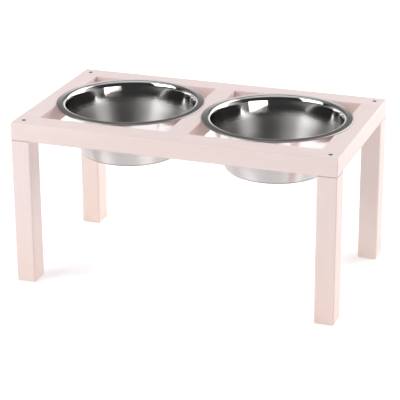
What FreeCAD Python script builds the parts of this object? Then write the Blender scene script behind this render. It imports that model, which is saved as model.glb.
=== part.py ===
# Raised wooden stand with two steel bowls that drop into it from above and lift out.
# Frame of the model: +Z up, millimetres, origin on the floor under the middle of the stand.
# +X runs along the stand to the viewer's right, +Y runs from the front to the back.
import FreeCAD, Part
import math
import os
import Sketcher

# Driving sizes, in millimetres.
SIZES = [
    # The stand as a whole.
    ("stand_length", 530.0),
    ("stand_depth", 304.0),
    ("stand_height", 270.0),
    # Timber sections.
    ("rail_height", 30.0),
    ("long_rail_depth", 37.0),
    ("side_rail_width", 34.0),
    ("centre_rail_width", 34.0),
    ("leg_width", 32.0),
    ("leg_depth", 36.0),
    # Eased edges.
    ("edge_radius", 2.5),
    ("opening_easing", 1.0),
    ("foot_chamfer", 1.5),
    # Socket-head bolts that pull the legs up against the long rails.
    ("bolt_diameter", 4.0),
    ("bolt_length", 40.0),
    ("bolt_head_diameter", 7.0),
    ("bolt_head_height", 4.0),
    ("bolt_head_sink", 0.8),
    ("bolt_edge_chamfer", 0.4),
    ("hex_key_width", 3.0),
    ("hex_key_depth", 2.0),
    ("bolt_hole_clearance", 0.2),
    ("bolt_tip_room", 4.0),
    # Threaded inserts in the tops of the legs.
    ("insert_diameter", 8.0),
    ("insert_length", 10.0),
    ("insert_chamfer", 0.6),
    # Dowels.
    ("leg_dowel_diameter", 6.0),
    ("leg_dowel_length", 30.0),
    ("leg_dowel_in_rail", 12.0),
    ("leg_dowel_offset", 10.0),
    ("frame_dowel_diameter", 8.0),
    ("frame_dowel_length", 40.0),
    ("frame_dowel_in_long_rail", 15.0),
    ("frame_dowel_spacing", 16.0),
    ("dowel_chamfer", 0.8),
    ("dowel_end_room", 0.5),
    # Radial clearance of dowels, inserts and threads in their holes.
    ("fit_clearance", 0.05),
    # How far the rim of a centred bowl lies over the short rails beside it, and over the long rails.
    ("rim_side_overlap", 13.0),
    ("rim_end_overlap", 5.0),
    # Pressed steel bowls. The wall's run is how far it comes in from the flat rim to the flat base.
    ("flange_width", 10.0),
    ("wall_run", 32.7),
    ("base_ring_width", 19.3),
    ("rim_rise", 2.2),
    ("sheet_thickness", 0.8),
    # The rim turns down in a tight shoulder, which runs on into a short flare and a faintly bellied wall.
    ("shoulder_radius", 4.2),
    ("shoulder_run", 3.9),
    ("flare_radius", 28.0),
    ("belly_radius", 450.0),
    ("lip_radius", 0.8),
    ("bowl_drop", 82.0),
    ("base_corner_radius", 6.0),
    ("base_recess_depth", 1.0),
    # The bowls lie a little back of the middle of their openings, in the play that they have there.
    ("bowl_set_back", 4.0),
    # How far a cutting shape runs past the face that it cuts.
    ("cut_overrun", 3.0),
]

# Sizes worked out from the driving ones, as expressions on the sheet.
LEG_HEIGHT = "(Sizes.stand_height - Sizes.rail_height)"
SHORT_RAIL_LENGTH = "(Sizes.stand_depth - 2 * Sizes.long_rail_depth)"
OPENING_WIDTH = "((Sizes.stand_length - 2 * Sizes.side_rail_width - Sizes.centre_rail_width) / 2)"
OPENING_CENTRE = f"(Sizes.centre_rail_width / 2 + {OPENING_WIDTH} / 2)"
RIM_ACROSS = f"({OPENING_WIDTH} + 2 * Sizes.rim_side_overlap)"
RIM_ALONG = f"({SHORT_RAIL_LENGTH} + 2 * Sizes.rim_end_overlap)"
RIM_DIAMETER = f"min({RIM_ACROSS}; {RIM_ALONG})"
RIM_INNER_DIAMETER = f"({RIM_DIAMETER} - 2 * Sizes.flange_width)"
BASE_FLAT_DIAMETER = f"({RIM_INNER_DIAMETER} - 2 * Sizes.wall_run)"
BASE_RECESS_DIAMETER = f"({BASE_FLAT_DIAMETER} - 2 * Sizes.base_ring_width)"
LEG_CENTRE_X = "(Sizes.stand_length / 2 - Sizes.leg_width / 2)"
LEG_CENTRE_Y = "(Sizes.stand_depth / 2 - Sizes.leg_depth / 2)"
SIDE_RAIL_CENTRE = "(Sizes.stand_length / 2 - Sizes.side_rail_width / 2)"
HEAD_SEAT_DEPTH = "(Sizes.bolt_head_height + Sizes.bolt_head_sink)"
BOLT_BELOW_RAIL = f"(Sizes.bolt_length - (Sizes.rail_height - {HEAD_SEAT_DEPTH}))"
BOLT_HOLE = "(Sizes.bolt_diameter + 2 * Sizes.bolt_hole_clearance)"
HEAD_HOLE = "(Sizes.bolt_head_diameter + 2 * Sizes.bolt_hole_clearance)"
LEG_DOWEL_HOLE = "(Sizes.leg_dowel_diameter + 2 * Sizes.fit_clearance)"
FRAME_DOWEL_HOLE = "(Sizes.frame_dowel_diameter + 2 * Sizes.fit_clearance)"
FRAME_DOWEL_IN_SHORT_RAIL = "(Sizes.frame_dowel_length - Sizes.frame_dowel_in_long_rail)"
LEG_DOWEL_IN_LEG = "(Sizes.leg_dowel_length - Sizes.leg_dowel_in_rail)"

# Names of the two ends of a sketch line or arc, and of its centre, as the sketcher numbers them.
START, END, CENTRE = range(1, 4)
# The sketch's own axes are numbered downwards from -1, and its origin is where the first one starts.
X_AXIS, Y_AXIS = range(-1, -3, -1)
ORIGIN = (X_AXIS, START)

# Names of the geometry of the bowl's section, in the order in which it is drawn.
BOWL_OUTLINE = [
    "recess_under", "step_under", "base_under", "corner_under", "wall_under", "flare_under",
    "shoulder_under", "flange_under", "lip_bend_under", "lip_inside", "lip_edge", "lip_outside", "lip_bend_top",
    "flange_top", "shoulder_top", "flare_top", "wall_top", "corner_top", "base_top", "step_top", "recess_top",
    "axis",
]

# Half a turn, in degrees, and the taper that gives an opening's edge an even bevel.
HALF_TURN = 180
BEVEL_ANGLE = 45

doc = FreeCAD.newDocument("bowl_stand")
sheet = doc.addObject("Spreadsheet::Sheet", "Sizes")
bodies = []


def fill_sheet():
    for row, (name, size) in enumerate(SIZES, start=1):
        sheet.set(f"A{row}", name)
        sheet.set(f"B{row}", str(size))
        sheet.setAlias(f"B{row}", name)
    doc.recompute()


def value(expression):
    return float(sheet.evalExpression(expression))


def new_body(label):
    body = doc.addObject("PartDesign::Body", label)
    body.Label = label
    bodies.append(body)
    return body


def place(body, x="0", y="0", z="0", turn=FreeCAD.Rotation()):
    body.Placement = FreeCAD.Placement(FreeCAD.Vector(), turn)
    body.setExpression("Placement.Base.x", x)
    body.setExpression("Placement.Base.y", y)
    body.setExpression("Placement.Base.z", z)


def origin_feature(body, role):
    return next(f for f in body.Origin.OriginFeatures if f.Role == role)


# A sketch on one of the body's own planes, moved along the plane's normal by an expression.
def new_sketch(body, name, plane, offset="0"):
    sketch = body.newObject("Sketcher::SketchObject", name)
    sketch.AttachmentSupport = (origin_feature(body, plane), [""])
    sketch.MapMode = "FlatFace"
    sketch.setExpression("AttachmentOffset.Base.z", offset)
    return sketch


def relate(sketch, kind, *references):
    return sketch.addConstraint(Sketcher.Constraint(kind, *references))


# A dimension of a sketch that follows an expression on the sheet.
def measure(sketch, kind, references, name, expression):
    index = sketch.addConstraint(Sketcher.Constraint(kind, *references, value(expression)))
    sketch.renameConstraint(index, name)
    sketch.setExpression(f"Constraints.{name}", expression)


def add_line(sketch, start, end):
    edge = Part.LineSegment(FreeCAD.Vector(*start, 0), FreeCAD.Vector(*end, 0))
    return sketch.addGeometry(edge, False)


def add_arc(sketch, centre, radius, start_angle, end_angle):
    circle = Part.Circle(FreeCAD.Vector(*centre, 0), FreeCAD.Vector(0, 0, 1), radius)
    return sketch.addGeometry(Part.ArcOfCircle(circle, start_angle, end_angle), False)


# A rectangle between two corners whose coordinates are expressions.
def draw_rectangle(sketch, low_x, low_y, high_x, high_y):
    x0, y0, x1, y1 = [value(e) for e in (low_x, low_y, high_x, high_y)]
    corners = [(x0, y0), (x1, y0), (x1, y1), (x0, y1)]
    lines = [add_line(sketch, a, b) for a, b in zip(corners, corners[1:] + corners[:1])]
    for line, following in zip(lines, lines[1:] + lines[:1]):
        relate(sketch, "Coincident", line, END, following, START)
    relate(sketch, "Horizontal", lines[0])
    relate(sketch, "Horizontal", lines[2])
    relate(sketch, "Vertical", lines[1])
    relate(sketch, "Vertical", lines[3])
    measure(sketch, "DistanceX", (*ORIGIN, lines[0], START), "low_x", low_x)
    measure(sketch, "DistanceY", (*ORIGIN, lines[0], START), "low_y", low_y)
    measure(sketch, "DistanceX", (*ORIGIN, lines[2], START), "high_x", high_x)
    measure(sketch, "DistanceY", (*ORIGIN, lines[2], START), "high_y", high_y)


# Circles of one diameter at the given places, each a pair of expressions.
def draw_circles(sketch, diameter, *places):
    for number, (x, y) in enumerate(places):
        centre = FreeCAD.Vector(value(x), value(y), 0)
        circle = Part.Circle(centre, FreeCAD.Vector(0, 0, 1), value(diameter) / 2)
        index = sketch.addGeometry(circle, False)
        measure(sketch, "Diameter", (index,), f"diameter_{number}", diameter)
        measure(sketch, "DistanceX", (*ORIGIN, index, CENTRE), f"x_{number}", x)
        measure(sketch, "DistanceY", (*ORIGIN, index, CENTRE), f"y_{number}", y)


# A regular hexagon in a construction circle round the origin, given by its width across the flats.
def draw_hexagon(sketch, width):
    corner_circle = f"2 * {width} / sqrt(3)"
    reach = value(corner_circle) / 2
    circle = Part.Circle(FreeCAD.Vector(), FreeCAD.Vector(0, 0, 1), reach)
    around = sketch.addGeometry(circle, True)
    relate(sketch, "Coincident", around, CENTRE, *ORIGIN)
    measure(sketch, "Diameter", (around,), "corner_circle", corner_circle)
    turns = [k * math.pi / 3 for k in range(6)]
    corners = [(reach * math.cos(turn), reach * math.sin(turn)) for turn in turns]
    lines = [add_line(sketch, a, b) for a, b in zip(corners, corners[1:] + corners[:1])]
    for line, following in zip(lines, lines[1:] + lines[:1]):
        relate(sketch, "Coincident", line, END, following, START)
        relate(sketch, "PointOnObject", line, END, around)
    for line in lines[1:]:
        relate(sketch, "Equal", lines[0], line)
    relate(sketch, "PointOnObject", lines[0], START, X_AXIS)


def add_pad(body, sketch, length, reverse=False):
    pad = body.newObject("PartDesign::Pad", f"{body.Name}_pad")
    pad.Profile = sketch
    pad.setExpression("Length", length)
    pad.Reversed = reverse
    doc.recompute()
    return pad


# A pocket cuts against the sketch's normal, or along it when reversed.
def add_pocket(body, sketch, depth, reverse=False, taper=0):
    before = body.Shape.Volume
    pocket = body.newObject("PartDesign::Pocket", f"{body.Name}_pocket")
    pocket.Profile = sketch
    pocket.setExpression("Length", depth)
    pocket.Reversed = reverse
    pocket.TaperAngle = taper
    doc.recompute()
    if not body.Shape.Volume < before:
        raise RuntimeError(f"{body.Label}: a pocket cuts nothing")
    return pocket


# A stepped hole: narrow all the way down, wide for the first stretch below the sketch.
def add_stepped_hole(body, sketch, diameter, wide_diameter, wide_depth, depth=None):
    hole = body.newObject("PartDesign::Hole", f"{body.Name}_hole")
    hole.Profile = sketch
    doc.recompute()
    hole.ThreadType = "None"
    hole.setExpression("Diameter", diameter)
    hole.HoleCutType = "Counterbore"
    hole.HoleCutCustomValues = True
    hole.setExpression("HoleCutDiameter", wide_diameter)
    hole.setExpression("HoleCutDepth", wide_depth)
    hole.DrillPoint = "Flat"
    if depth is None:
        hole.DepthType = "ThroughAll"
    else:
        hole.DepthType = "Dimension"
        hole.setExpression("Depth", depth)
    doc.recompute()
    return hole


def add_mirror(body, features, plane):
    mirror = body.newObject("PartDesign::Mirrored", f"{body.Name}_mirror")
    mirror.Originals = features
    mirror.MirrorPlane = (origin_feature(body, plane), [""])
    body.Tip = mirror
    doc.recompute()
    return mirror


# Names of the edges of a feature whose middle passes a test.
def edges_where(feature, test):
    edges = enumerate(feature.Shape.Edges, start=1)
    return [f"Edge{number}" for number, edge in edges if test(edge.CenterOfMass)]


def add_dress_up(body, kind, base, edges, size_name, size):
    dress_up = body.newObject(f"PartDesign::{kind}", f"{body.Name}_{kind.lower()}")
    dress_up.Base = (base, edges)
    dress_up.setExpression(size_name, size)
    doc.recompute()
    return dress_up


def near(a, b):
    return math.isclose(a, b, abs_tol=value("Sizes.fit_clearance"))


# Bevels the edges of a bowl opening on the top and the underside of a rail, from one rectangle.
def ease_opening(body, low_x, low_y, high_x, high_y):
    top = new_sketch(body, "opening_top", "XY_Plane", "Sizes.rail_height")
    draw_rectangle(top, low_x, low_y, high_x, high_y)
    under = new_sketch(body, "opening_under", "XY_Plane")
    draw_rectangle(under, low_x, low_y, high_x, high_y)
    return [
        add_pocket(body, top, "Sizes.opening_easing", taper=-BEVEL_ANGLE),
        add_pocket(body, under, "Sizes.opening_easing", reverse=True, taper=-BEVEL_ANGLE),
    ]


# A long rail. Its outer face lies on local y = 0 and its underside on local z = 0.
def build_long_rail(label):
    body = new_body(label)
    half_length = "Sizes.stand_length / 2"
    outline = new_sketch(body, "outline", "XY_Plane")
    draw_rectangle(outline, f"-{half_length}", "0", half_length, "Sizes.long_rail_depth")
    block = add_pad(body, outline, "Sizes.rail_height")
    inner_face = value("Sizes.long_rail_depth")
    outer_edges = edges_where(block, lambda middle: not near(middle.y, inner_face))
    add_dress_up(body, "Fillet", block, outer_edges, "Radius", "Sizes.edge_radius")

    bolt_y = "Sizes.leg_depth / 2"
    bolt = new_sketch(body, "bolt_place", "XY_Plane", "Sizes.rail_height")
    draw_circles(bolt, BOLT_HOLE, (LEG_CENTRE_X, bolt_y))
    bolt_hole = add_stepped_hole(body, bolt, BOLT_HOLE, HEAD_HOLE, HEAD_SEAT_DEPTH)

    leg_dowel = new_sketch(body, "leg_dowel_place", "XY_Plane")
    draw_circles(leg_dowel, LEG_DOWEL_HOLE, (LEG_CENTRE_X, f"{bolt_y} - Sizes.leg_dowel_offset"))
    leg_dowel_hole = add_pocket(
        body, leg_dowel, "Sizes.leg_dowel_in_rail + Sizes.dowel_end_room", reverse=True)

    middle_z = "Sizes.rail_height / 2"
    half_spacing = "Sizes.frame_dowel_spacing / 2"
    dowel_depth = "Sizes.frame_dowel_in_long_rail + Sizes.dowel_end_room"
    end_joint = new_sketch(body, "end_dowel_places", "XZ_Plane", "-Sizes.long_rail_depth")
    draw_circles(
        end_joint, FRAME_DOWEL_HOLE,
        (f"{SIDE_RAIL_CENTRE} - {half_spacing}", middle_z),
        (f"{SIDE_RAIL_CENTRE} + {half_spacing}", middle_z))
    end_dowel_holes = add_pocket(body, end_joint, dowel_depth, reverse=True)

    easing = ease_opening(
        body,
        "Sizes.centre_rail_width / 2 - Sizes.opening_easing",
        "Sizes.long_rail_depth - Sizes.opening_easing",
        f"Sizes.centre_rail_width / 2 + {OPENING_WIDTH} + Sizes.opening_easing",
        "Sizes.long_rail_depth + Sizes.cut_overrun")
    add_mirror(body, [bolt_hole, leg_dowel_hole, end_dowel_holes] + easing, "YZ_Plane")

    middle_joint = new_sketch(body, "middle_dowel_places", "XZ_Plane", "-Sizes.long_rail_depth")
    draw_circles(
        middle_joint, FRAME_DOWEL_HOLE,
        (f"-{half_spacing}", middle_z),
        (half_spacing, middle_z))
    add_pocket(body, middle_joint, dowel_depth, reverse=True)
    return body


# The dowel holes in both ends of a short rail, given the local x of the rail's middle line.
def drill_short_rail_ends(body, middle_x):
    middle_z = "Sizes.rail_height / 2"
    half_spacing = "Sizes.frame_dowel_spacing / 2"
    joint = new_sketch(body, "dowel_places", "XZ_Plane", f"{SHORT_RAIL_LENGTH} / 2")
    draw_circles(
        joint, FRAME_DOWEL_HOLE,
        (f"{middle_x} - {half_spacing}", middle_z),
        (f"{middle_x} + {half_spacing}", middle_z))
    holes = add_pocket(body, joint, f"{FRAME_DOWEL_IN_SHORT_RAIL} + Sizes.dowel_end_room")
    add_mirror(body, [holes], "XZ_Plane")


# A side rail. Its outer face lies on local x = 0 and its underside on local z = 0.
def build_side_rail(label):
    body = new_body(label)
    half_length = f"{SHORT_RAIL_LENGTH} / 2"
    outline = new_sketch(body, "outline", "XY_Plane")
    draw_rectangle(outline, "0", f"-{half_length}", "Sizes.side_rail_width", half_length)
    block = add_pad(body, outline, "Sizes.rail_height")
    outer_edges = edges_where(block, lambda middle: near(middle.x, 0) and near(middle.y, 0))
    add_dress_up(body, "Fillet", block, outer_edges, "Radius", "Sizes.edge_radius")
    ease_opening(
        body,
        "Sizes.side_rail_width - Sizes.opening_easing",
        f"-{half_length} - Sizes.opening_easing",
        "Sizes.side_rail_width + Sizes.cut_overrun",
        f"{half_length} + Sizes.opening_easing")
    drill_short_rail_ends(body, "Sizes.side_rail_width / 2")
    return body


# The centre rail, with its middle line on local x = 0 and its underside on local z = 0.
def build_centre_rail(label):
    body = new_body(label)
    half_length = f"{SHORT_RAIL_LENGTH} / 2"
    half_width = "Sizes.centre_rail_width / 2"
    outline = new_sketch(body, "outline", "XY_Plane")
    draw_rectangle(outline, f"-{half_width}", f"-{half_length}", half_width, half_length)
    add_pad(body, outline, "Sizes.rail_height")
    easing = ease_opening(
        body,
        f"{half_width} - Sizes.opening_easing",
        f"-{half_length} - Sizes.opening_easing",
        f"{half_width} + Sizes.cut_overrun",
        f"{half_length} + Sizes.opening_easing")
    add_mirror(body, easing, "YZ_Plane")
    drill_short_rail_ends(body, "0")
    return body


# A leg, standing on local z = 0 with its middle line on the local Z axis.
def build_leg(label):
    body = new_body(label)
    outline = new_sketch(body, "outline", "XY_Plane")
    draw_rectangle(
        outline,
        "-Sizes.leg_width / 2", "-Sizes.leg_depth / 2",
        "Sizes.leg_width / 2", "Sizes.leg_depth / 2")
    block = add_pad(body, outline, LEG_HEIGHT)
    upright_edges = edges_where(block, lambda middle: near(middle.z, value(LEG_HEIGHT) / 2))
    rounded = add_dress_up(body, "Fillet", block, upright_edges, "Radius", "Sizes.edge_radius")
    foot_edges = edges_where(rounded, lambda middle: near(middle.z, 0))
    add_dress_up(body, "Chamfer", rounded, foot_edges, "Size", "Sizes.foot_chamfer")

    insert_hole = new_sketch(body, "insert_place", "XY_Plane", LEG_HEIGHT)
    draw_circles(insert_hole, BOLT_HOLE, ("0", "0"))
    add_stepped_hole(
        body, insert_hole, BOLT_HOLE,
        "Sizes.insert_diameter + 2 * Sizes.fit_clearance", "Sizes.insert_length",
        f"{BOLT_BELOW_RAIL} + Sizes.bolt_tip_room")

    dowel_hole = new_sketch(body, "dowel_place", "XY_Plane", LEG_HEIGHT)
    draw_circles(dowel_hole, LEG_DOWEL_HOLE, ("0", "-Sizes.leg_dowel_offset"))
    add_pocket(body, dowel_hole, f"{LEG_DOWEL_IN_LEG} + Sizes.dowel_end_room")
    return body


# A socket-head bolt. The underside of its head lies on local z = 0, its shank points down.
def build_bolt(label):
    body = new_body(label)
    head_circle = new_sketch(body, "head_circle", "XY_Plane")
    draw_circles(head_circle, "Sizes.bolt_head_diameter", ("0", "0"))
    add_pad(body, head_circle, "Sizes.bolt_head_height")
    shank_circle = new_sketch(body, "shank_circle", "XY_Plane")
    draw_circles(shank_circle, "Sizes.bolt_diameter", ("0", "0"))
    shank = add_pad(body, shank_circle, "Sizes.bolt_length", reverse=True)
    head_top = value("Sizes.bolt_head_height")
    tip = -value("Sizes.bolt_length")
    end_edges = edges_where(shank, lambda middle: near(middle.z, head_top) or near(middle.z, tip))
    add_dress_up(body, "Chamfer", shank, end_edges, "Size", "Sizes.bolt_edge_chamfer")
    socket = new_sketch(body, "socket", "XY_Plane", "Sizes.bolt_head_height")
    draw_hexagon(socket, "Sizes.hex_key_width")
    add_pocket(body, socket, "Sizes.hex_key_depth")
    return body


# A threaded insert, from its lower end on local z = 0. The thread is a plain bore.
def build_insert(label):
    body = new_body(label)
    outer_circle = new_sketch(body, "outer_circle", "XY_Plane")
    draw_circles(outer_circle, "Sizes.insert_diameter", ("0", "0"))
    sleeve = add_pad(body, outer_circle, "Sizes.insert_length")
    add_dress_up(
        body, "Chamfer", sleeve, edges_where(sleeve, lambda middle: near(middle.z, 0)),
        "Size", "Sizes.insert_chamfer")
    bore = new_sketch(body, "bore", "XY_Plane", "Sizes.insert_length")
    draw_circles(bore, "Sizes.bolt_diameter + 2 * Sizes.fit_clearance", ("0", "0"))
    add_pocket(body, bore, "Sizes.insert_length")
    return body


# A dowel along local Z, from its lower end on local z = 0, with both ends chamfered.
def build_dowel(label, diameter, length):
    body = new_body(label)
    circle = new_sketch(body, "circle", "XY_Plane")
    draw_circles(circle, diameter, ("0", "0"))
    rod = add_pad(body, circle, length)
    ends = edges_where(rod, lambda middle: near(middle.z, 0) or near(middle.z, value(length)))
    add_dress_up(body, "Chamfer", rod, ends, "Size", "Sizes.dowel_chamfer")
    return body


# Draws the section of a bowl: one sheet of even thickness, from the axis out to the lip and back.
def draw_bowl_section(sketch):
    sheet_thickness = value("Sizes.sheet_thickness")
    rim_radius = value(RIM_DIAMETER) / 2
    flange_start = value(RIM_INNER_DIAMETER) / 2
    flange_z = value("Sizes.rim_rise") - sheet_thickness
    shoulder = value("Sizes.shoulder_radius")
    flare = value("Sizes.flare_radius")
    belly = value("Sizes.belly_radius")
    lip = value("Sizes.lip_radius")
    corner = value("Sizes.base_corner_radius")
    base_radius = value(BASE_FLAT_DIAMETER) / 2
    base_z = -value("Sizes.bowl_drop")
    recess_radius = value(BASE_RECESS_DIAMETER) / 2
    recess_z = base_z + value("Sizes.base_recess_depth")
    step_radius = recess_radius + value("Sizes.base_recess_depth")

    corner_centre = (base_radius, base_z + corner)
    shoulder_centre = (flange_start, flange_z - shoulder)
    lip_centre = (rim_radius - sheet_thickness - lip, flange_z - lip)

    # The shoulder and the flare meet where both have turned down by the same angle.
    turn = math.acos(value("Sizes.shoulder_run") / shoulder)
    flare_centre = (
        shoulder_centre[0] + (flare - shoulder) * math.cos(turn),
        shoulder_centre[1] - (flare - shoulder) * math.sin(turn))

    # The wall's wide curve has the corner bend inside it, and touches the flare from outside.
    across = flare_centre[0] - corner_centre[0]
    up = flare_centre[1] - corner_centre[1]
    span = math.hypot(across, up)
    to_corner = belly - corner
    to_flare = belly + flare
    bearing = math.atan2(up, across)
    bearing += math.acos((span ** 2 + to_corner ** 2 - to_flare ** 2) / (2 * span * to_corner))
    belly_centre = (
        corner_centre[0] + to_corner * math.cos(bearing),
        corner_centre[1] + to_corner * math.sin(bearing))
    low_lean = math.pi - bearing
    high_lean = math.atan2(belly_centre[1] - flare_centre[1], flare_centre[0] - belly_centre[0])

    quarter = math.pi / 2
    part = {}
    part["recess_under"] = add_line(sketch, (0, recess_z), (recess_radius, recess_z))
    part["step_under"] = add_line(sketch, (recess_radius, recess_z), (step_radius, base_z))
    part["base_under"] = add_line(sketch, (step_radius, base_z), (base_radius, base_z))
    part["corner_under"] = add_arc(sketch, corner_centre, corner, -quarter, -low_lean)
    part["wall_under"] = add_arc(sketch, belly_centre, belly, -low_lean, -high_lean)
    part["flare_under"] = add_arc(sketch, flare_centre, flare, math.pi - turn, math.pi - high_lean)
    part["shoulder_under"] = add_arc(sketch, shoulder_centre, shoulder, quarter, math.pi - turn)
    part["flange_under"] = add_line(sketch, (flange_start, flange_z), (lip_centre[0], flange_z))
    part["lip_bend_under"] = add_arc(sketch, lip_centre, lip, 0, quarter)
    lip_inside = rim_radius - sheet_thickness
    part["lip_inside"] = add_line(sketch, (lip_inside, lip_centre[1]), (lip_inside, 0))
    part["lip_edge"] = add_line(sketch, (lip_inside, 0), (rim_radius, 0))
    part["lip_outside"] = add_line(sketch, (rim_radius, 0), (rim_radius, lip_centre[1]))
    part["lip_bend_top"] = add_arc(sketch, lip_centre, lip + sheet_thickness, 0, quarter)
    top_z = flange_z + sheet_thickness
    part["flange_top"] = add_line(sketch, (lip_centre[0], top_z), (flange_start, top_z))
    part["shoulder_top"] = add_arc(
        sketch, shoulder_centre, shoulder + sheet_thickness, quarter, math.pi - turn)
    part["flare_top"] = add_arc(
        sketch, flare_centre, flare + sheet_thickness, math.pi - turn, math.pi - high_lean)
    part["wall_top"] = add_arc(sketch, belly_centre, belly - sheet_thickness, -low_lean, -high_lean)
    part["corner_top"] = add_arc(sketch, corner_centre, corner - sheet_thickness, -quarter, -low_lean)
    inner_z = base_z + sheet_thickness
    part["base_top"] = add_line(sketch, (base_radius, inner_z), (step_radius, inner_z))
    part["step_top"] = add_line(sketch, (step_radius, inner_z), (recess_radius, recess_z + sheet_thickness))
    part["recess_top"] = add_line(
        sketch, (recess_radius, recess_z + sheet_thickness), (0, recess_z + sheet_thickness))
    part["axis"] = add_line(sketch, (0, recess_z + sheet_thickness), (0, recess_z))
    return part


# Joins the section's lines and arcs end to end. Each arc runs anticlockwise, whichever way
# the outline passes through it, so its first end is not always the one that comes first.
def join_bowl_section(sketch, part):
    backward_arcs = ("flare_under", "shoulder_under", "lip_bend_under", "wall_top", "corner_top")
    bends = ("corner", "wall", "flare", "shoulder", "bend")
    arcs = [name for name in BOWL_OUTLINE if any(bend in name for bend in bends)]
    for name, following in zip(BOWL_OUTLINE, BOWL_OUTLINE[1:] + BOWL_OUTLINE[:1]):
        leaving = START if name in backward_arcs else END
        entering = END if following in backward_arcs else START
        kind = "Tangent" if name in arcs or following in arcs else "Coincident"
        relate(sketch, kind, part[name], leaving, part[following], entering)


# Sets the section's sizes. Bends of the two faces share their centres, so the wall keeps one thickness.
# The flare's do so because the shoulder ends at one angle on both faces, and then the wall's do too.
def size_bowl_section(sketch, part):
    for name in ("corner", "shoulder", "lip_bend"):
        relate(sketch, "Coincident", part[f"{name}_under"], CENTRE, part[f"{name}_top"], CENTRE)
    for name in ("recess_under", "base_under", "base_top", "recess_top", "flange_under", "lip_edge"):
        relate(sketch, "Horizontal", part[name])
    for name in ("lip_inside", "lip_outside", "axis"):
        relate(sketch, "Vertical", part[name])
    relate(sketch, "PointOnObject", part["axis"], START, Y_AXIS)
    relate(sketch, "PointOnObject", part["lip_edge"], START, X_AXIS)
    relate(sketch, "Vertical", part["recess_under"], END, part["recess_top"], START)
    relate(sketch, "Vertical", part["base_under"], START, part["base_top"], END)

    def bend(name, expression):
        measure(sketch, "Radius", (part[name],), name, expression)

    bend("corner_under", "Sizes.base_corner_radius")
    bend("corner_top", "Sizes.base_corner_radius - Sizes.sheet_thickness")
    bend("wall_under", "Sizes.belly_radius")
    bend("wall_top", "Sizes.belly_radius - Sizes.sheet_thickness")
    bend("shoulder_under", "Sizes.shoulder_radius")
    bend("shoulder_top", "Sizes.shoulder_radius + Sizes.sheet_thickness")
    bend("flare_under", "Sizes.flare_radius")
    bend("flare_top", "Sizes.flare_radius + Sizes.sheet_thickness")
    bend("lip_bend_under", "Sizes.lip_radius")
    bend("lip_bend_top", "Sizes.lip_radius + Sizes.sheet_thickness")

    def from_axis(name, end, label, expression):
        measure(sketch, "DistanceX", (*ORIGIN, part[name], end), label, expression)

    from_axis("recess_under", END, "recess_radius", f"{BASE_RECESS_DIAMETER} / 2")
    from_axis("corner_under", CENTRE, "base_radius", f"{BASE_FLAT_DIAMETER} / 2")
    from_axis("shoulder_under", CENTRE, "flange_start", f"{RIM_INNER_DIAMETER} / 2")
    from_axis("shoulder_under", END, "flare_start", f"{RIM_INNER_DIAMETER} / 2 - Sizes.shoulder_run")
    from_axis(
        "shoulder_top", END, "flare_top_start",
        f"{RIM_INNER_DIAMETER} / 2 - Sizes.shoulder_run * (1 + Sizes.sheet_thickness / Sizes.shoulder_radius)")
    from_axis("lip_outside", START, "rim_radius", f"{RIM_DIAMETER} / 2")
    measure(
        sketch, "DistanceX", (part["recess_under"], END, part["base_under"], START),
        "step_width", "Sizes.base_recess_depth")
    measure(
        sketch, "DistanceY", (part["base_under"], START, part["recess_under"], END),
        "step_height", "Sizes.base_recess_depth")
    measure(
        sketch, "DistanceY", (part["recess_under"], END, part["recess_top"], START),
        "recess_sheet", "Sizes.sheet_thickness")
    measure(
        sketch, "DistanceY", (part["base_under"], START, *ORIGIN), "drop", "Sizes.bowl_drop")
    measure(sketch, "DistanceY", (*ORIGIN, part["flange_top"], START), "rise", "Sizes.rim_rise")


# A bowl, turned about local Z. Its lip rests on local z = 0, the level of the wood's top.
def build_bowl(label):
    body = new_body(label)
    section = new_sketch(body, "section", "XZ_Plane")
    part = draw_bowl_section(section)
    join_bowl_section(section, part)
    size_bowl_section(section, part)
    turned = body.newObject("PartDesign::Revolution", f"{body.Name}_revolution")
    turned.Profile = section
    turned.ReferenceAxis = (section, ["V_Axis"])
    turned.Angle = 2 * HALF_TURN
    doc.recompute()
    return body


# Stands the leg, its bolt, its insert and its dowel at one corner.
def build_corner(side, end, x_sign, y_sign):
    label = f"{end}_{side}_leg"
    turn = FreeCAD.Rotation(FreeCAD.Vector(0, 0, 1), 0 if y_sign < 0 else HALF_TURN)
    x = f"{x_sign} * {LEG_CENTRE_X}"
    y = f"{y_sign} * {LEG_CENTRE_Y}"
    place(build_leg(label), x, y, "0", turn)
    place(build_bolt(f"{label}_bolt"), x, y, f"Sizes.stand_height - {HEAD_SEAT_DEPTH}")
    place(build_insert(f"{label}_insert"), x, y, f"{LEG_HEIGHT} - Sizes.insert_length")
    dowel = build_dowel(f"{label}_dowel", "Sizes.leg_dowel_diameter", "Sizes.leg_dowel_length")
    dowel_y = f"{y_sign} * ({LEG_CENTRE_Y} + Sizes.leg_dowel_offset)"
    place(dowel, x, dowel_y, f"{LEG_HEIGHT} - {LEG_DOWEL_IN_LEG}")


# Lays the two dowels of one end of a short rail, from inside the short rail out into the long rail.
def build_frame_dowels(rail, middle_x, end, y_sign):
    lay_down = FreeCAD.Rotation(FreeCAD.Vector(1, 0, 0), -y_sign * HALF_TURN / 2)
    start_y = f"{y_sign} * ({SHORT_RAIL_LENGTH} / 2 - {FRAME_DOWEL_IN_SHORT_RAIL})"
    middle_z = "Sizes.stand_height - Sizes.rail_height / 2"
    for number, sign in enumerate((-1, 1), start=1):
        dowel = build_dowel(
            f"{rail}_{end}_dowel_{number}", "Sizes.frame_dowel_diameter", "Sizes.frame_dowel_length")
        x = f"{middle_x} + {sign} * Sizes.frame_dowel_spacing / 2"
        place(dowel, x, start_y, middle_z, lay_down)


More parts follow.
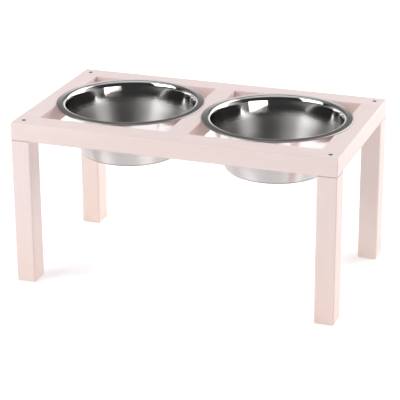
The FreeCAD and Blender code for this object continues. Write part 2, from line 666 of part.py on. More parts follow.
def build_stand():
    upside = FreeCAD.Rotation(FreeCAD.Vector(0, 0, 1), HALF_TURN)
    place(build_long_rail("front_rail"), "0", "-Sizes.stand_depth / 2", LEG_HEIGHT)
    place(build_long_rail("back_rail"), "0", "Sizes.stand_depth / 2", LEG_HEIGHT, upside)
    place(build_side_rail("left_side_rail"), "-Sizes.stand_length / 2", "0", LEG_HEIGHT)
    place(build_side_rail("right_side_rail"), "Sizes.stand_length / 2", "0", LEG_HEIGHT, upside)
    place(build_centre_rail("centre_rail"), "0", "0", LEG_HEIGHT)
    for end, y_sign in (("front", -1), ("back", 1)):
        build_corner("left", end, -1, y_sign)
        build_corner("right", end, 1, y_sign)
        build_frame_dowels("left_rail", f"-{SIDE_RAIL_CENTRE}", end, y_sign)
        build_frame_dowels("centre_rail", "0", end, y_sign)
        build_frame_dowels("right_rail", SIDE_RAIL_CENTRE, end, y_sign)


def build_bowls():
    for side, sign in (("left", "-"), ("right", "+")):
        x = f"{sign}{OPENING_CENTRE}"
        place(build_bowl(f"{side}_bowl"), x, "Sizes.bowl_set_back", "Sizes.stand_height")


def check_model():
    for item in doc.Objects:
        if "Invalid" in item.State or "Error" in item.State:
            raise RuntimeError(f"{item.Label} has failed: {item.State}")
        if item.TypeId == "Sketcher::SketchObject" and not item.FullyConstrained:
            raise RuntimeError(f"{item.Label} is not fully constrained")
    for body in bodies:
        if body.Shape.isNull() or not body.Shape.isValid() or len(body.Shape.Solids) != 1:
            raise RuntimeError(f"{body.Label} is not one valid solid")


def export_parts():
    os.makedirs("parts", exist_ok=True)
    for body in bodies:
        body.Shape.exportStep(f"parts/{body.Label}.step")
        box = body.Shape.optimalBoundingBox(False, False)
        print(f"{body.Label}: {box.XLength:.2f} x {box.YLength:.2f} x {box.ZLength:.2f} mm")


fill_sheet()
build_stand()
build_bowls()
doc.recompute()
check_model()
export_parts()
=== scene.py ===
import math

import bmesh
import bpy
from mathutils import Matrix, Vector


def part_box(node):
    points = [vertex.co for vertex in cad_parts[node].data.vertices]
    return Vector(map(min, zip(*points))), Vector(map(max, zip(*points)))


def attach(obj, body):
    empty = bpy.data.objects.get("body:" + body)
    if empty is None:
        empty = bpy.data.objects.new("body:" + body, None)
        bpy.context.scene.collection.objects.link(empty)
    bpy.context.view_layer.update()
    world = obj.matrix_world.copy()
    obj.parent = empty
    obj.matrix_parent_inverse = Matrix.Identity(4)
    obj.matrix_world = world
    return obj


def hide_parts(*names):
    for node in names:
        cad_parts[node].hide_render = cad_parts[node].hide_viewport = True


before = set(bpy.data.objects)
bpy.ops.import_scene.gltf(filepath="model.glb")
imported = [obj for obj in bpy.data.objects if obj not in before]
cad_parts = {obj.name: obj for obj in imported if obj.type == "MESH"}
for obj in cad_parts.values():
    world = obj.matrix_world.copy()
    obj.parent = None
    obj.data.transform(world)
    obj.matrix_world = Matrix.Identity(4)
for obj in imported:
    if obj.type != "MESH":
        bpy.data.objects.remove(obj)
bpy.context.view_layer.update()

# Axes of the model: along the stand to the right, from its front to its back, and upwards.
X, Y, Z = range(3)


# A length or place from the frame, rounded to a tenth of a millimetre. Round solids have facets
# there, so their radius and centre are rounded to a millimetre.
def measured(metres, places=4):
    return round(metres, places)


# Camera, in metres and degrees. It looks down at the stand from the right of its front.
CAMERA_PLACE = Vector((0.8425, -2.3697, 1.1057))
CAMERA_YAW = 19.659
CAMERA_DOWN = 21.471
CAMERA_ROLL = -0.336
CAMERA_LENS_MM = 149.47
SENSOR_MM = 36.0

# Bowls, in metres. These sizes and places are read from the frame.
_, rail_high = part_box("front_rail")
bowl_low, bowl_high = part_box("right_bowl")
WOOD_TOP = measured(rail_high[Z])
BOWL_CENTRE_X = measured((bowl_low[X] + bowl_high[X]) / 2, 3)
BOWL_CENTRE_Y = measured((bowl_low[Y] + bowl_high[Y]) / 2, 3)
RIM_RADIUS = measured((bowl_high[X] - bowl_low[X]) / 2, 3)
RIM_RISE = measured(bowl_high[Z] - WOOD_TOP)
BOWL_DROP = measured(WOOD_TOP - bowl_low[Z])

# These repeat the sizes of the solids, apart from the flange, which here falls a little to its lip.
FLANGE_INNER_RADIUS = 0.110
FLANGE_FALL = 0.0005
SHEET = 0.0008
SHOULDER_RADIUS = 0.0042
SHOULDER_RUN = 0.0039
FLARE_RADIUS = 0.028
BELLY_RADIUS = 0.450
LIP_RADIUS = 0.0008
BASE_FLAT_RADIUS = 0.0773
BASE_CORNER_RADIUS = 0.006
RECESS_RADIUS = 0.058
RECESS_DEPTH = 0.001

# Segments round a bowl, steps along each arc of its section, the angle from which an edge is sharp,
# and the distance in metres within which two points are one.
BOWL_SEGMENTS = 256
OUTSIDE_STEPS = {"corner": 10, "belly": 14, "flare": 10, "shoulder": 12}
INSIDE_STEPS = {"corner": 10, "belly": 16, "flare": 14, "shoulder": 16}
LIP_STEPS = 4
HEM_STEPS = 6
FLANGE_PARTS = 3
SHARP_DEGREES = 50
SAME_POINT = 1e-7

# Finishes of a bowl, in the order of its material slots. Each has the colour of the metal, its
# roughness and how far that varies, the lines round the bowl per metre, how far they stretch a
# reflection, and how strongly they stand out. The hem's dark colour is painted shade. Deep down a
# finish can also be rougher, or darker with painted shade, and it can be darker at the bottom corner,
# with painted shade that stands for the reflected shadow under the bowl.
OUTSIDE, LIP, RIM, INSIDE = range(4)
BOWL_FINISHES = {
    "brushed": {
        "base": (0.87, 0.84, 0.835), "roughness": 0.11, "spread": 0.03, "lines": 2600.0,
        "anisotropy": 1.0, "relief": 0.02, "deep_roughness": 0.37, "corner_shade_share": 0.85},
    # The hem's dark colour is painted shade, standing in for the shadow in the gap under the rolled lip.
    "shaded_hem": {
        "base": (0.36, 0.35, 0.34), "roughness": 0.34, "spread": 0.06, "lines": 2600.0,
        "anisotropy": 0.0, "relief": 0.15},
    "satin": {
        "base": (0.65, 0.61, 0.59), "roughness": 0.09, "spread": 0.03, "lines": 3200.0,
        "anisotropy": 0.2, "relief": 0.05},
    "polished": {
        "base": (0.63, 0.615, 0.605), "roughness": 0.06, "spread": 0.02, "lines": 2200.0,
        "anisotropy": 0.0, "relief": 0.02, "deep_roughness": 0.26, "deep_shade_share": 0.45},
}

# Depths below the top of the wood, in metres, at which a change in a bowl's finish starts and is full.
# The painted shade at the bottom corner fades in over the run given last, before the edge of the flat
# base.
ROUGH_DEPTHS = (0.016, 0.036)
DEEP_SHADE_DEPTHS = (0.018, 0.050)
CORNER_SHADE_DEPTHS = (0.0775, 0.0800)
CORNER_SHADE_RUN = 0.003

# Noise on steel, in waves per metre. Along the lines, where a turn of one radian counts as LINE_RUN
# metres, it has the two numbers of ROUND_WAVES, for the fine lines and the broad ones.
LINE_RUN = 0.0012
ROUND_WAVES = (900.0, 300.0)
BROAD_LINES_SHARE = 0.12
SMUDGE_WAVES = (22.0, 22.0, 22.0)

# How much of a finish's spread the smudges and the broad lines have, what is left of the steel's colour
# in the lines and in its painted shade, the height of the lines in metres, and the turn of the stretched
# reflections, as a share of a full one, which lays them across the lines.
SMUDGE_SPREAD_SHARE = 0.8
BROAD_SPREAD_SHARE = 0.3
LINE_COLOUR_SHARE = 0.88
SHADE_COLOUR_SHARE = 0.35
LINE_RELIEF = 0.00006
STRETCH_TURN_SHARE = 0.25

# Whitewash on the boards: its colour, and what shares of its channels are left where the timber shows,
# in the painted shade on the inner faces of the openings and in the painted light at the foot of a leg.
# Then the shadow in a joint.
WASH = (0.850, 0.722, 0.706)
TIMBER_SHARES = (0.90, 0.82, 0.76)
INNER_SHADE_SHARES = (0.98, 0.90, 0.88)
FOOT_LIGHT_SHARES = (1.06, 1.025, 0.985)
SEAM_SHADOW = (0.30, 0.23, 0.20)
SEAM_SHARE = 0.12

# How much of the timber shows: in late wood under thick and thin wash, in the fibres, in the pores, and
# everywhere under thick and thin wash. They add up.
LATE_BARE_SHARES = (0.02, 0.24)
FIBRE_BARE_SHARE = 0.12
PORE_BARE_SHARE = 0.12
PATCH_BARE_SHARES = (-0.05, 0.12)

# Relief of late wood, fibres and pores, as shares of the bump's height, and the bump's strength and
# height in metres. The roughness rises from one number to the other with the fibres and late wood.
LATE_RELIEF_SHARE = -0.35
FIBRE_RELIEF_SHARE = 0.5
PORE_RELIEF_SHARE = -0.6
WOOD_BUMP = (0.30, 0.0003)
WOOD_ROUGHNESS = (0.46, 0.62)
LATE_ROUGH_SHARE = 0.4
WOOD_SPECULAR = 0.42

# Noise in the wood, in waves per metre: along the grain and twice across it.
WANDER_WAVES = (2.2, 9.0, 9.0)
FIBRE_WAVES = (7.0, 520.0, 520.0)
PORE_WAVES = (55.0, 1900.0, 1900.0)
WASH_WAVES = (5.0, 16.0, 16.0)

# Growth rings, and the edges of changes of colour, in metres. A fade is two distances from a face or
# a joint, where the change starts and where it is full. The heights of the painted light at the foot
# of a leg are such heights over the floor.
RING_WIDTH = 0.0036
RING_WANDER = 0.016
INNER_SHADE_FADE = (0.0010, 0.0002)
SEAM_FADE = (0.0006, 0.0002)
FOOT_LIGHT_HEIGHTS = (0.20, 0.02)

# Boards: node, axis of the grain, place of the growth rings' pith across the grain in metres, where
# the noise starts along the grain, and the tint as shares of the plain wash. The tint is partly the
# board's own tone and partly painted light, paler on the boards that lie more in shade.
BOARDS = [
    ("front_rail", X, (-0.190, 0.205), 0.0, (1.0, 1.0, 1.0)),
    ("back_rail", X, (0.225, 0.190), 3.1, (1.02, 1.03, 1.04)),
    ("left_side_rail", Y, (-0.300, 0.200), 7.7, (1.03, 1.04, 1.06)),
    ("right_side_rail", Y, (0.190, 0.180), 11.3, (1.0, 1.0, 0.99)),
    ("centre_rail", Y, (0.045, 0.195), 5.9, (0.99, 0.99, 1.0)),
    ("front_left_leg", Z, (-0.300, -0.180), 1.7, (1.035, 1.045, 1.065)),
    ("front_right_leg", Z, (0.310, -0.090), 9.2, (1.01, 1.01, 1.01)),
    ("back_left_leg", Z, (-0.200, 0.200), 4.4, (0.99, 0.98, 0.96)),
    ("back_right_leg", Z, (0.200, 0.210), 6.3, (1.02, 1.05, 1.05)),
]

# Fastenings: colours, plain and worn or pale and brown, roughness, noise in waves per metre, and the
# strength and height in metres of the bump.
BOLT_COLOURS = ((0.018, 0.018, 0.020), (0.06, 0.057, 0.055))
BOLT_ROUGHNESS = 0.36
INSERT_COLOURS = ((0.78, 0.57, 0.26), (0.60, 0.41, 0.17))
INSERT_ROUGHNESS = 0.30
METAL_SPREAD = 0.08
PATCH_WAVES = (420.0, 420.0, 420.0)
METAL_GRAIN_WAVES = (3000.0, 3000.0, 3000.0)
METAL_BUMP = (0.2, 0.00004)
BEECH_COLOURS = ((0.62, 0.43, 0.27), (0.55, 0.36, 0.21))
BEECH_FLECK = (0.36, 0.21, 0.11)
BEECH_FLECK_SHARE = 0.5
BEECH_ROUGHNESS = 0.6
BEECH_TONE_WAVES = (60.0, 60.0, 60.0)
BEECH_FLECK_WAVES = (700.0, 90.0, 700.0)
BEECH_BUMP = (0.3, 0.0001)

# Floor, in metres. Its glow grows from the first of the distances from the stand to the second.
# Light passes through it to a surface that is nearer than CONTACT, which only the feet's undersides are.
FLOOR_RADIUS = 16.0
FLOOR_BELOW = 0.0001
FLOOR_SEGMENTS = 96
FLOOR_GREYS = (0.90, 0.91)
FLOOR_WAVES = (3.0, 3.0, 3.0)
GLOW_DISTANCES = (0.4, 2.4)
NEAR_GLOW_SHARE = 0.30
CONTACT = 0.001

# Brightness of the studio by height, where 0 is the horizon and 1 is straight up: the white backdrop
# behind the stand and the dim room on the camera's side, both with a bright ceiling. The backdrop
# starts and is full at BACKDROP_EDGES, where 1 is straight behind the stand.
BACKDROP_LEVELS = [
    (0.0, 1.0), (0.22, 1.0), (0.28, 0.40), (0.32, 0.20), (0.66, 0.15), (0.84, 0.72), (1.0, 1.08)]
ROOM_LEVELS = [
    (0.0, 0.50), (0.07, 0.30), (0.11, 0.05), (0.45, 0.05), (0.66, 0.12), (0.84, 0.72), (1.0, 1.08)]
BACKDROP_EDGES = (-0.25, 0.35)

# Softboxes, which face the top of the stand: name, place of the middle, width and height of the face
# in metres, power in watts, colour.
SOFTBOXES = [
    ("right_softbox", (1.44, 1.72, 1.37), 2.8, 2.55, 55.0, (1.0, 1.0, 1.0)),
    ("front_softbox", (2.0, -1.5, 0.32), 1.5, 0.54, 11.0, (1.0, 0.92, 0.86)),
    ("left_softbox", (-1.66, -1.49, 1.38), 1.9, 1.25, 41.0, (0.98, 0.99, 1.0)),
]


def make_camera():
    yaw = math.radians(CAMERA_YAW)
    down = math.radians(CAMERA_DOWN)
    roll = math.radians(CAMERA_ROLL)
    forward = Vector((-math.sin(yaw) * math.cos(down), math.cos(yaw) * math.cos(down), -math.sin(down)))
    level_right = Vector((math.cos(yaw), math.sin(yaw), 0))
    level_up = level_right.cross(forward)
    right = level_right * math.cos(roll) + level_up * math.sin(roll)
    up = level_up * math.cos(roll) - level_right * math.sin(roll)
    data = bpy.data.cameras.new("camera")
    data.lens = CAMERA_LENS_MM
    data.sensor_width = SENSOR_MM
    camera = bpy.data.objects.new("camera", data)
    bpy.context.scene.collection.objects.link(camera)
    axes = Matrix((right, up, -forward)).transposed().to_4x4()
    camera.matrix_world = Matrix.Translation(CAMERA_PLACE) @ axes
    bpy.context.scene.camera = camera


# The nodes of a material or a world. Sockets take a number, a colour or another node's output.
class Graph:
    def __init__(self, owner):
        owner.use_nodes = True
        self.owner = owner
        self.tree = owner.node_tree
        self.tree.nodes.clear()

    def node(self, kind, settings=None, **sources):
        made = self.tree.nodes.new(f"ShaderNode{kind}")
        for name, setting in (settings or {}).items():
            setattr(made, name, setting)
        for name, source in sources.items():
            self.feed(made.inputs[name.replace("_", " ")], source)
        return made

    def feed(self, socket, source):
        if isinstance(source, bpy.types.NodeSocket):
            self.tree.links.new(source, socket)
        else:
            socket.default_value = source

    # The object's own coordinates, or with "Generated" the direction in a world.
    def place(self, kind="Object"):
        return self.node("TexCoord").outputs[kind]

    def apart(self, vector):
        return self.node("SeparateXYZ", Vector=vector).outputs

    def joined(self, first, second, third):
        return self.node("CombineXYZ", X=first, Y=second, Z=third).outputs[0]

    def math(self, operation, first, second=0.0, clamp=False):
        made = self.node("Math", {"operation": operation, "use_clamp": clamp})
        self.feed(made.inputs[0], first)
        self.feed(made.inputs[1], second)
        return made.outputs[0]

    def plus(self, first, second, clamp=False):
        return self.math("ADD", first, second, clamp)

    def minus(self, first, second):
        return self.math("SUBTRACT", first, second)

    def times(self, first, second):
        return self.math("MULTIPLY", first, second)

    def larger(self, first, second):
        return self.math("MAXIMUM", first, second)

    def hypot(self, first, second):
        return self.math("SQRT", self.plus(self.times(first, first), self.times(second, second)))

    def remap(self, source, low, high, to_low=0.0, to_high=1.0, smooth=False):
        made = self.node("MapRange", {"interpolation_type": "SMOOTHSTEP" if smooth else "LINEAR"})
        for name, number in zip(("Value", "From Min", "From Max", "To Min", "To Max"),
                                (source, low, high, to_low, to_high)):
            self.feed(made.inputs[name], number)
        return made.outputs["Result"]

    def mix(self, share, first, second, blend="MIX"):
        made = self.node("Mix", {"data_type": "RGBA", "blend_type": blend})
        self.feed(made.inputs[0], share)
        self.feed(made.inputs[6], first)
        self.feed(made.inputs[7], second)
        return made.outputs[2]

    # A vector with its axes scaled and the whole moved.
    def stretched(self, vector, scale, move=(0.0, 0.0, 0.0)):
        return self.node("Mapping", Vector=vector, Scale=scale, Location=move).outputs["Vector"]

    def noise(self, vector, waves, detail=2.0, roughness=0.5):
        made = self.node("TexNoise", Vector=self.stretched(vector, waves), Scale=1.0, Detail=detail,
                         Roughness=roughness)
        return made.outputs["Fac"]

    def bump(self, relief, strength, height):
        return self.node("Bump", Strength=strength, Distance=height, Height=relief).outputs["Normal"]

    def surface(self, shader, kind="Material"):
        output = self.node(f"Output{kind}")
        self.tree.links.new(shader.outputs[0], output.inputs["Surface"])
        return self.owner


def colour(red, green, blue):
    return (red, green, blue, 1.0)


def grey(level):
    return colour(level, level, level)


def tinted(base, shares):
    return tuple(channel * share for channel, share in zip(base, shares))


# How far from the stand's middle a rail's inner face lies along an axis, and which way the wood lies
# from there. The centre rail has such a face on both sides, and its wood lies towards the middle.
def inner_face(node, axis):
    low, high = (measured(corner[axis]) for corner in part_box(node))
    if low < 0.0 < high:
        return high, -1.0
    return min(abs(low), abs(high)), 1.0


# Figure of the wood. The grain runs along one axis of the model, and the growth rings lie round a
# pith line beside the board, so that its faces and ends show one and the same piece of timber. Late
# wood is the outer side of each ring.
def wood_figure(graph, axes, grain, pith, start):
    across, upward = [axis for axis in (X, Y, Z) if axis != grain]
    board = graph.joined(axes[grain], axes[across], axes[upward])
    board = graph.stretched(board, (1.0, 1.0, 1.0), (start, 0.0, 0.0))
    wander = graph.noise(board, WANDER_WAVES, detail=3.0)
    reach = graph.hypot(graph.minus(axes[across], pith[0]), graph.minus(axes[upward], pith[1]))
    reach = graph.plus(reach, graph.times(wander, RING_WANDER))
    phase = graph.math("FRACT", graph.math("DIVIDE", reach, RING_WIDTH))
    late = graph.times(graph.remap(phase, 0.25, 0.9, smooth=True), graph.remap(phase, 1.0, 0.92))
    fibre = graph.noise(board, FIBRE_WAVES, detail=3.0, roughness=0.6)
    pore = graph.remap(graph.noise(board, PORE_WAVES, detail=1.0), 0.63, 0.78)
    thinness = graph.noise(board, WASH_WAVES, detail=3.0, roughness=0.6)
    return late, fibre, pore, thinness


# Whitewashed wood, with a wash that is thinner over the late wood and in the pores, where the timber
# shows through.
def make_wood(node, grain, pith, start, tone_and_light_shares):
    graph = Graph(bpy.data.materials.new(f"whitewash_{node}"))
    axes = graph.apart(graph.place())
    late, fibre, pore, thinness = wood_figure(graph, axes, grain, pith, start)
    bare = graph.times(late, graph.remap(thinness, 0.38, 0.72, *LATE_BARE_SHARES))
    bare = graph.plus(bare, graph.remap(fibre, 0.3, 0.75, 0.0, FIBRE_BARE_SHARE))
    bare = graph.plus(bare, graph.times(pore, PORE_BARE_SHARE))
    bare = graph.plus(bare, graph.remap(thinness, 0.35, 0.7, *PATCH_BARE_SHARES), clamp=True)
    # The tint is partly the board's own tone and partly painted light, paler on boards that lie in
    # shade.
    wash = tinted(WASH, tone_and_light_shares)
    shade = graph.mix(bare, colour(*wash), colour(*tinted(wash, TIMBER_SHARES)))

    if grain == Z:
        # Painted light: a leg is a little warmer and paler towards the foot, standing in for the light
        # thrown up from the floor.
        foot_light = graph.remap(axes[Z], *FOOT_LIGHT_HEIGHTS, smooth=True)
        shade = graph.mix(foot_light, shade, colour(*FOOT_LIGHT_SHARES), "MULTIPLY")
    else:
        # Painted shade: the faces inside the openings are darker and pinker, standing in for the shade
        # and the pink light thrown between the boards there.
        across = Y if grain == X else X
        face, inward = inner_face(node, across)
        clear_at, full_at = (face + inward * depth for depth in INNER_SHADE_FADE)
        inner_shade = graph.remap(graph.math("ABSOLUTE", axes[across]), clear_at, full_at)
        shade = graph.mix(inner_shade, shade, colour(*INNER_SHADE_SHARES), "MULTIPLY")

    # A hairline of shadow where the end of a leg or a short rail meets a long rail.
    if grain != X:
        _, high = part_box(node)
        joint = measured(high[grain])
        clear_at, full_at = (joint - depth for depth in SEAM_FADE)
        seam = graph.remap(graph.math("ABSOLUTE", axes[grain]), clear_at, full_at, 0.0, SEAM_SHARE)
        shade = graph.mix(seam, shade, colour(*SEAM_SHADOW))

    relief = graph.plus(graph.times(late, LATE_RELIEF_SHARE), graph.times(fibre, FIBRE_RELIEF_SHARE))
    relief = graph.plus(relief, graph.times(pore, PORE_RELIEF_SHARE))
    rough = graph.plus(fibre, graph.times(late, LATE_ROUGH_SHARE))
    return graph.surface(graph.node(
        "BsdfPrincipled", Base_Color=shade, Roughness=graph.remap(rough, 0.3, 1.1, *WOOD_ROUGHNESS),
        Specular_IOR_Level=WOOD_SPECULAR, Normal=graph.bump(relief, *WOOD_BUMP)))


# An amount that a bowl's finish has in full below the second depth and not at all above the first.
def lower_down(graph, height, depths, amount):
    start, full = depths
    return graph.remap(height, WOOD_TOP - full, WOOD_TOP - start, amount, 0.0, smooth=True)


# Stainless steel with the fine lines of turning or polishing, which run round the bowl's axis.
def make_steel(name, centre_x, base, roughness, spread, lines, anisotropy, relief,
               deep_roughness=0.0, deep_shade_share=0.0, corner_shade_share=0.0):
    graph = Graph(bpy.data.materials.new(name))
    place = graph.place()
    axes = graph.apart(place)
    off_x = graph.minus(axes[X], centre_x)
    off_y = graph.minus(axes[Y], BOWL_CENTRE_Y)
    radius = graph.hypot(off_x, off_y)
    turn = graph.math("ARCTAN2", off_y, off_x)
    section = graph.joined(radius, graph.times(turn, LINE_RUN), axes[Z])
    broad_lines = lines * BROAD_LINES_SHARE
    fine = graph.noise(section, (lines, ROUND_WAVES[0], lines), roughness=0.65)
    broad = graph.noise(section, (broad_lines, ROUND_WAVES[1], broad_lines))
    smudge = graph.noise(place, SMUDGE_WAVES, detail=3.0)

    broad_spread = spread * BROAD_SPREAD_SHARE
    rough = graph.remap(fine, 0.3, 0.7, roughness - spread, roughness + spread)
    rough = graph.plus(rough, graph.remap(smudge, 0.4, 0.75, 0.0, spread * SMUDGE_SPREAD_SHARE))
    rough = graph.plus(rough, graph.remap(broad, 0.35, 0.65, -broad_spread, broad_spread))
    rough = graph.plus(rough, lower_down(graph, axes[Z], ROUGH_DEPTHS, deep_roughness), clamp=True)

    # The colour is darker in the lines, and for some finishes it has painted shade deep down or at the
    # bend to the base.
    line = colour(*[channel * LINE_COLOUR_SHARE for channel in base])
    painted_shade = colour(*[channel * SHADE_COLOUR_SHARE for channel in base])
    shade = graph.mix(graph.remap(fine, 0.25, 0.75), line, colour(*base))
    # Painted shade deep down inside, standing in for the dark reflections in the hollow of the bowl.
    if deep_shade_share:
        shade = graph.mix(lower_down(graph, axes[Z], DEEP_SHADE_DEPTHS, deep_shade_share), shade, painted_shade)
    # Painted shade at the bend to the base: a painted reflection of the shadowed floor under the bowl.
    if corner_shade_share:
        low = lower_down(graph, axes[Z], CORNER_SHADE_DEPTHS, corner_shade_share)
        bend = graph.remap(radius, BASE_FLAT_RADIUS - CORNER_SHADE_RUN, BASE_FLAT_RADIUS, smooth=True)
        shade = graph.mix(graph.times(low, bend), shade, painted_shade)

    tangent = graph.node("Tangent", {"direction_type": "RADIAL", "axis": "Z"}).outputs["Tangent"]
    return graph.surface(graph.node(
        "BsdfPrincipled", Base_Color=shade, Metallic=1.0, Roughness=rough, Tangent=tangent,
        Anisotropic=anisotropy, Anisotropic_Rotation=STRETCH_TURN_SHARE,
        Normal=graph.bump(fine, relief, LINE_RELIEF)))


# Metal of the small fastenings, a little rubbed and stained.
def make_small_metal(name, colours, roughness):
    graph = Graph(bpy.data.materials.new(name))
    place = graph.place()
    patches = graph.noise(place, PATCH_WAVES, detail=3.0, roughness=0.6)
    grains = graph.noise(place, METAL_GRAIN_WAVES)
    plain, worn = colours
    shade = graph.mix(graph.remap(patches, 0.45, 0.75), colour(*plain), colour(*worn))
    rough = graph.remap(patches, 0.3, 0.7, roughness - METAL_SPREAD, roughness + METAL_SPREAD)
    return graph.surface(graph.node(
        "BsdfPrincipled", Base_Color=shade, Metallic=1.0, Roughness=rough,
        Normal=graph.bump(grains, *METAL_BUMP)))


# Bare beech of the dowels, with its short dark flecks.
def make_beech(name):
    graph = Graph(bpy.data.materials.new(name))
    place = graph.place()
    fleck = graph.noise(place, BEECH_FLECK_WAVES)
    tone = graph.noise(place, BEECH_TONE_WAVES)
    pale, brown = BEECH_COLOURS
    shade = graph.mix(graph.remap(tone, 0.3, 0.7), colour(*pale), colour(*brown))
    darkness = graph.remap(fleck, 0.58, 0.7, 0.0, BEECH_FLECK_SHARE)
    shade = graph.mix(darkness, shade, colour(*BEECH_FLECK))
    return graph.surface(graph.node(
        "BsdfPrincipled", Base_Color=shade, Roughness=BEECH_ROUGHNESS,
        Normal=graph.bump(fleck, *BEECH_BUMP)))


def arc(centre, radius, start, end, steps):
    turns = [start + (end - start) * step / steps for step in range(steps + 1)]
    return [(centre[0] + radius * math.cos(turn), centre[1] + radius * math.sin(turn)) for turn in turns]


# The points that part a run into equal lengths, without its ends.
def between(first, last, parts):
    shares = [part / parts for part in range(1, parts)]
    return [tuple(a + (b - a) * share for a, b in zip(first, last)) for share in shares]


# Points of a bowl's section in metres, as (radius, height over the wood), with the finish of the
# surface that starts at each point. It runs from the middle of the base under and over the sheet.
def bowl_section():
    quarter = math.pi / 2
    top = RIM_RISE
    under = top - SHEET

    # Centres of the arcs. The belly's circle touches the bottom corner's, which lies inside it, and
    # the flare's, which lies outside it.
    corner = (BASE_FLAT_RADIUS, BASE_CORNER_RADIUS - BOWL_DROP)
    shoulder = (FLANGE_INNER_RADIUS, under - SHOULDER_RADIUS)
    turn = math.acos(SHOULDER_RUN / SHOULDER_RADIUS)
    flare = (
        shoulder[0] + (FLARE_RADIUS - SHOULDER_RADIUS) * math.cos(turn),
        shoulder[1] - (FLARE_RADIUS - SHOULDER_RADIUS) * math.sin(turn))
    across = flare[0] - corner[0]
    upward = flare[1] - corner[1]
    span = math.hypot(across, upward)
    to_corner = BELLY_RADIUS - BASE_CORNER_RADIUS
    to_flare = BELLY_RADIUS + FLARE_RADIUS
    bearing = math.atan2(upward, across)
    bearing += math.acos((span ** 2 + to_corner ** 2 - to_flare ** 2) / (2 * span * to_corner))
    belly = (corner[0] + to_corner * math.cos(bearing), corner[1] + to_corner * math.sin(bearing))

    # The leans are how far the wall's outer face looks down at its lower and its upper end.
    low_lean = math.pi - bearing
    high_lean = math.atan2(belly[1] - flare[1], flare[0] - belly[0])
    flare_start = math.pi - high_lean
    flare_end = math.pi - turn
    lip = (RIM_RADIUS - SHEET - LIP_RADIUS, under - FLANGE_FALL - LIP_RADIUS)
    recess = RECESS_DEPTH - BOWL_DROP
    halfway = RECESS_RADIUS / 2
    ring_start = RECESS_RADIUS + RECESS_DEPTH

    outside = [(0.0, recess), (halfway, recess), (RECESS_RADIUS, recess), (ring_start, -BOWL_DROP)]
    outside += arc(corner, BASE_CORNER_RADIUS, -quarter, -low_lean, OUTSIDE_STEPS["corner"])
    outside += arc(belly, BELLY_RADIUS, -low_lean, -high_lean, OUTSIDE_STEPS["belly"])
    outside += arc(flare, FLARE_RADIUS, flare_start, flare_end, OUTSIDE_STEPS["flare"])
    outside += arc(shoulder, SHOULDER_RADIUS, flare_end, quarter, OUTSIDE_STEPS["shoulder"])
    outside += between(outside[-1], (lip[0], under - FLANGE_FALL), FLANGE_PARTS)
    outside += arc(lip, LIP_RADIUS, quarter, 0.0, LIP_STEPS)

    shaded_hem = [(RIM_RADIUS - SHEET, 0.0), (RIM_RADIUS, 0.0)]
    shaded_hem += arc(lip, LIP_RADIUS + SHEET, 0.0, quarter, HEM_STEPS)

    rim = [(lip[0], top - FLANGE_FALL)]
    rim += between(rim[0], (FLANGE_INNER_RADIUS, top), FLANGE_PARTS)
    rim.append((FLANGE_INNER_RADIUS, top))

    inside = arc(shoulder, SHOULDER_RADIUS + SHEET, quarter, flare_end, INSIDE_STEPS["shoulder"])
    inside += arc(flare, FLARE_RADIUS + SHEET, flare_end, flare_start, INSIDE_STEPS["flare"])
    inside += arc(belly, BELLY_RADIUS - SHEET, -high_lean, -low_lean, INSIDE_STEPS["belly"])
    inside += arc(corner, BASE_CORNER_RADIUS - SHEET, -low_lean, -quarter, INSIDE_STEPS["corner"])
    inside += [(ring_start, SHEET - BOWL_DROP), (RECESS_RADIUS, recess + SHEET)]
    inside += [(halfway, recess + SHEET), (0.0, recess + SHEET)]

    points = []
    for finish, run in ((OUTSIDE, outside), (LIP, shaded_hem), (RIM, rim), (INSIDE, inside)):
        for point in run:
            if points and math.dist(points[-1][0], point) < SAME_POINT:
                points[-1] = (point, finish)
            else:
                points.append((point, finish))
    return points


# The section turned round the bowl's axis, closed at both ends by a fan of triangles.
def bowl_mesh(name, centre_x):
    section = bowl_section()
    turns = [2 * math.pi * step / BOWL_SEGMENTS for step in range(BOWL_SEGMENTS)]
    shape = bmesh.new()
    rings = []
    for (radius, height), _ in section:
        z = WOOD_TOP + height
        if radius == 0.0:
            rings.append([shape.verts.new((centre_x, BOWL_CENTRE_Y, z))])
            continue
        rings.append([
            shape.verts.new((
                centre_x + radius * math.cos(turn), BOWL_CENTRE_Y + radius * math.sin(turn), z))
            for turn in turns])
    for (_, finish), lower, upper in zip(section, rings, rings[1:]):
        for step in range(BOWL_SEGMENTS):
            following = (step + 1) % BOWL_SEGMENTS
            low = [lower[0]] if len(lower) == 1 else [lower[step], lower[following]]
            high = [upper[0]] if len(upper) == 1 else [upper[following], upper[step]]
            face = shape.faces.new(low + high)
            face.material_index = finish
            face.smooth = True
    bmesh.ops.recalc_face_normals(shape, faces=shape.faces)
    mesh = bpy.data.meshes.new(name)
    shape.to_mesh(mesh)
    shape.free()
    mesh.set_sharp_from_angle(angle=math.radians(SHARP_DEGREES))
    return mesh


def make_bowl(side, centre_x):
    mesh = bowl_mesh(f"{side}_bowl_steel", centre_x)
    for name, finish in BOWL_FINISHES.items():
        mesh.materials.append(make_steel(f"{side}_bowl_{name}", centre_x, **finish))
    bowl = bpy.data.objects.new(f"{side}_bowl_steel", mesh)
    bpy.context.scene.collection.objects.link(bowl)
    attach(bowl, f"{side}_bowl")
    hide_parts(f"{side}_bowl")


def dress(node, material):
    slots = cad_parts[node].data.materials
    slots.clear()
    slots.append(material)


def dress_stand():
    for node, grain, pith, start, tone_and_light_shares in BOARDS:
        dress(node, make_wood(node, grain, pith, start, tone_and_light_shares))
    bolt = make_small_metal("bolt_black", BOLT_COLOURS, BOLT_ROUGHNESS)
    insert = make_small_metal("insert_brass", INSERT_COLOURS, INSERT_ROUGHNESS)
    beech = make_beech("dowel_beech")
    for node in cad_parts:
        if node.endswith("_bolt"):
            dress(node, bolt)
        elif node.endswith("_insert"):
            dress(node, insert)
        elif "_dowel" in node:
            dress(node, beech)


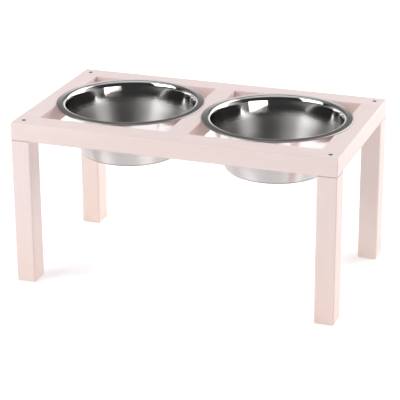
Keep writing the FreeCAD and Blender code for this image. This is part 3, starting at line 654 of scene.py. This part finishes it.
# White paint that keeps the stand's shadow, and glows for the camera and in reflections, so that it
# runs on into a white background. Seen from below it is clear, so that the underside shows, and the
# feet's undersides get their light through it.
def make_floor_white():
    graph = Graph(bpy.data.materials.new("floor_white"))
    place = graph.place()
    darker, paler = map(grey, FLOOR_GREYS)
    mottle = graph.remap(graph.noise(place, FLOOR_WAVES), 0.3, 0.7)
    paint = graph.node("BsdfDiffuse", Color=graph.mix(mottle, darker, paler))

    away = graph.node("VectorMath", {"operation": "LENGTH"})
    graph.feed(away.inputs[0], place)
    reach = graph.remap(away.outputs["Value"], *GLOW_DISTANCES, smooth=True)
    ray = graph.node("LightPath").outputs
    mirrored = graph.larger(ray["Is Glossy Ray"], ray["Is Transmission Ray"])
    seen = graph.larger(mirrored, ray["Is Camera Ray"])
    glow = graph.times(seen, graph.remap(reach, 0.0, 1.0, NEAR_GLOW_SHARE, 1.0))
    shine = graph.node("Emission", Strength=glow)
    lit = graph.node("AddShader")
    graph.feed(lit.inputs[0], paint.outputs[0])
    graph.feed(lit.inputs[1], shine.outputs[0])

    below = graph.node("NewGeometry").outputs["Backfacing"]
    near = graph.math("LESS_THAN", ray["Ray Length"], CONTACT)
    under_foot = graph.times(near, ray["Is Diffuse Ray"])
    both = graph.node("MixShader", Fac=graph.larger(below, under_foot))
    graph.feed(both.inputs[1], lit.outputs[0])
    graph.feed(both.inputs[2], graph.node("BsdfTransparent").outputs[0])
    return graph.surface(both)


def make_floor():
    shape = bmesh.new()
    bmesh.ops.create_circle(shape, cap_ends=True, radius=FLOOR_RADIUS, segments=FLOOR_SEGMENTS)
    mesh = bpy.data.meshes.new("floor")
    shape.to_mesh(mesh)
    shape.free()
    mesh.materials.append(make_floor_white())
    floor = bpy.data.objects.new("floor", mesh)
    floor.location.z = -FLOOR_BELOW
    bpy.context.scene.collection.objects.link(floor)


# Studio round the stand: a white backdrop behind it, and towards the camera a dim room. The camera
# itself sees white everywhere over the floor.
def make_world():
    graph = Graph(bpy.data.worlds.new("studio"))
    axes = graph.apart(graph.place("Generated"))
    backdrop = level_ramp(graph, axes[Z], BACKDROP_LEVELS)
    room = level_ramp(graph, axes[Z], ROOM_LEVELS)
    behind = graph.remap(axes[Y], *BACKDROP_EDGES, smooth=True)
    seen = graph.node("LightPath").outputs["Is Camera Ray"]
    shade = graph.mix(seen, graph.mix(behind, room, backdrop), grey(1.0))
    backing = graph.node("Background", Color=shade, Strength=1.0)
    bpy.context.scene.world = graph.surface(backing, "World")


def level_ramp(graph, source, stops):
    ramp = graph.node("ValToRGB", Fac=source)
    elements = ramp.color_ramp.elements
    for position, _ in stops[1:-1]:
        elements.new(position)
    for element, (position, level) in zip(elements, stops):
        element.position = position
        element.color = grey(level)
    return ramp.outputs["Color"]


def make_lights():
    target = Vector((0.0, 0.0, WOOD_TOP))
    for name, place, wide, tall, power, tint in SOFTBOXES:
        data = bpy.data.lights.new(name, "AREA")
        data.shape = "RECTANGLE"
        data.size = wide
        data.size_y = tall
        data.energy = power
        data.color = tint
        light = bpy.data.objects.new(name, data)
        light.location = place
        light.rotation_mode = "QUATERNION"
        light.rotation_quaternion = (target - Vector(place)).to_track_quat("-Z", "Y")
        bpy.context.scene.collection.objects.link(light)


make_camera()
dress_stand()
make_bowl("left", -BOWL_CENTRE_X)
make_bowl("right", BOWL_CENTRE_X)
make_floor()
make_world()
make_lights()
bpy.context.scene.view_settings.view_transform = "Standard"
